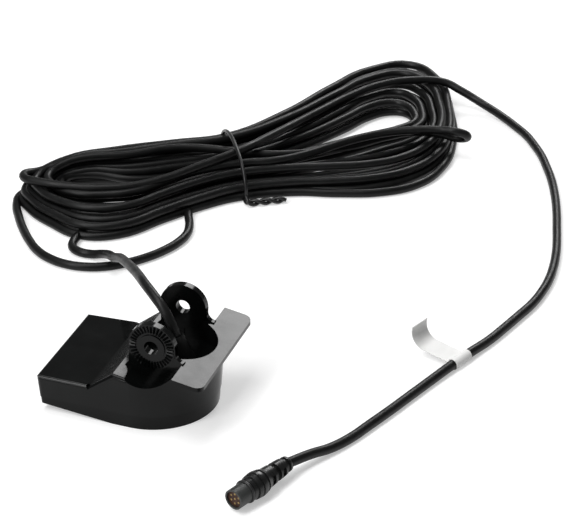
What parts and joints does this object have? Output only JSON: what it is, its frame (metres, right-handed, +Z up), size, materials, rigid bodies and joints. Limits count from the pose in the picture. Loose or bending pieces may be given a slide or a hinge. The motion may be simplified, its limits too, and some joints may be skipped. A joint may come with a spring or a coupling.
{
  "type": "sonar_transducer",
  "caption": "Black transom-mount sonar transducer with toothed pivot ears, tied hank of cable, flag label and round plug",
  "frame": {"origin": "middle of the body's bounding box in plan, at the level of its flat underside", "axes": "X runs from the tail block to the nose, Y across the body to the side that the hank lies on, Z up"},
  "size_m": [0.3145, 0.4845, 0.0559],
  "materials": {
    "housing_black": "glossy moulded, fine swirl marks",
    "base_black": "glossy moulded",
    "cable_black": "satin jacket",
    "tie_black": "satin coated wire",
    "label_white": "matt",
    "plug_grey": "satin moulded",
    "plug_black": "satin overmoulding",
    "insert_brown": "matt moulded",
    "contact_gold": "bright plated",
    "seal_black": "satin",
    "piezo_ceramic": "silvered faces",
    "cork": "pressed cork",
    "brass_plain": "plain sheet and tinned wire",
    "wire_jacket": "smooth insulation",
    "resin_dark": "cast"
  },
  "bodies": {
    "root": {"upper_housing": "housing_black", "base_cover": "base_black", "piezo_disc": "piezo_ceramic", "isolation_sleeve": "cork", "backing_pad": "cork", "shield_can": "brass_plain", "terminal_tabs": "brass_plain", "signal_wire_live": "wire_jacket", "signal_wire_return": "wire_jacket", "drain_wire": "brass_plain", "potting_compound": "resin_dark", "cable_boot": "cable_black", "cable_tail": "cable_black", "cable_lead_in": "cable_black", "cable_hank": "cable_black", "cable_loose_loop": "cable_black", "cable_lead_out": "cable_black", "hank_tie": "tie_black", "cable_label": "label_white", "connector_shell": "plug_grey", "connector_insert": "insert_brown", "connector_contacts": "contact_gold", "connector_seal": "seal_black", "connector_boot": "plug_black"}
  },
  "joints": []
}
